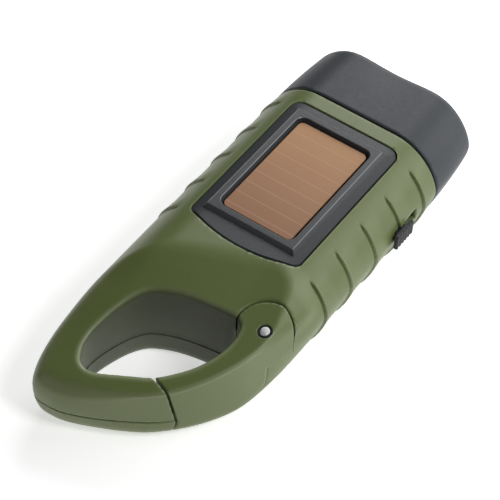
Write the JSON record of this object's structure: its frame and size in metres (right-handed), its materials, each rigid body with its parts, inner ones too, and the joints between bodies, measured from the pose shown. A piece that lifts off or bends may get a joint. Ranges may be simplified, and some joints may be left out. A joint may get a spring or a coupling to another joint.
{
  "type": "hand crank solar flashlight",
  "caption": "Flat flashlight with solar panel, hand crank generator in its back, sliding switch and spring-gated loop in its tail.",
  "frame": {"origin": "middle of the footprint of the whole object, on the plane that it lies on with its solar face up", "axes": "+X toward the lamp head, +Y to the left side, +Z out of the solar face"},
  "size_m": [0.137, 0.0564, 0.0313],
  "materials": {
    "green": "fine satin",
    "charcoal": "satin",
    "rubber": "matt",
    "cell": "thin film cell under clear resin",
    "clear": "clear, polished",
    "mirror": "vacuum plated",
    "steel": "satin",
    "brass": "satin",
    "copper": "enamelled copper wire",
    "nylon": "satin",
    "board": "solder mask",
    "foam": "open foam"
  },
  "bodies": {
    "housing": {"top_shell": "green", "bottom_shell": "green", "solar_bezel": "charcoal", "head_hood": "charcoal", "battery_holder": "charcoal", "head_gasket": "rubber", "solar_cell": "cell", "lens": "clear", "led_left": "clear", "led_right": "clear", "reflector": "mirror", "gate_pin": "steel", "gate_spring": "steel", "case_screw_1": "steel", "case_screw_2": "steel", "case_screw_3": "steel", "case_screw_4": "steel", "first_axle": "steel", "second_axle": "steel", "gear_plate": "steel", "plate_screw_1": "steel", "plate_screw_2": "steel", "plate_screw_3": "steel", "generator_can": "steel", "battery": "steel", "switch_housing": "steel", "crank_bush": "brass", "battery_contact": "brass", "stator_coil": "copper", "led_board": "board", "main_board": "board", "cell_pad": "foam"},
    "crank": {"crank_disc": "charcoal", "handle_pin": "steel", "crank_shaft": "steel", "crank_clip": "steel", "crank_gear": "nylon"},
    "handle": {"crank_handle": "charcoal", "grip_screw": "steel"},
    "grip": {"handle_grip": "charcoal"},
    "first_gear": {"first_gear": "nylon"},
    "second_gear": {"second_gear": "nylon"},
    "rotor": {"rotor_pinion": "brass", "rotor": "steel"},
    "gate": {"gate": "green"},
    "switch": {"switch_button": "charcoal"}
  },
  "joints": [
    {"name": "crank_spin", "type": "hinge", "parent": "housing", "child": "crank", "pos_m": [0.008, 0.0007, 0.005], "axis": [0, 0, 1], "continuous": true},
    {"name": "handle_fold", "type": "hinge", "parent": "crank", "child": "handle", "pos_m": [0.022, 0.0007, 0.004], "axis": [0, -1, 0], "range_deg": [0, 90]},
    {"name": "grip_spin", "type": "hinge", "parent": "handle", "child": "grip", "pos_m": [0.004, 0.0007, 0.004], "axis": [1, 0, 0], "continuous": true},
    {"name": "first_gear_spin", "type": "hinge", "parent": "housing", "child": "first_gear", "pos_m": [0.02438, 0.01217, 0.013], "axis": [0, 0, 1], "continuous": true},
    {"name": "second_gear_spin", "type": "hinge", "parent": "housing", "child": "second_gear", "pos_m": [0.02749, -0.00352, 0.013], "axis": [0, 0, 1], "continuous": true},
    {"name": "rotor_spin", "type": "hinge", "parent": "housing", "child": "rotor", "pos_m": [0.0133, -0.00773, 0.013], "axis": [0, 0, 1], "continuous": true},
    {"name": "gate_swing", "type": "hinge", "parent": "housing", "child": "gate", "pos_m": [-0.0275, -0.0201, 0.012], "axis": [0, 0, -1], "range_deg": [0, 25], "stiffness_Nm_per_rad": 0.05, "springref_deg": -17.19},
    {"name": "switch_slide", "type": "slide", "parent": "housing", "child": "switch", "axis": [1, 0, 0], "range_m": [0, 0.006]}
  ],
  "couplings": [
    {"joint": "first_gear_spin", "follows": "crank_spin", "ratio": -4},
    {"joint": "second_gear_spin", "follows": "crank_spin", "ratio": 12},
    {"joint": "rotor_spin", "follows": "crank_spin", "ratio": -37.333}
  ]
}
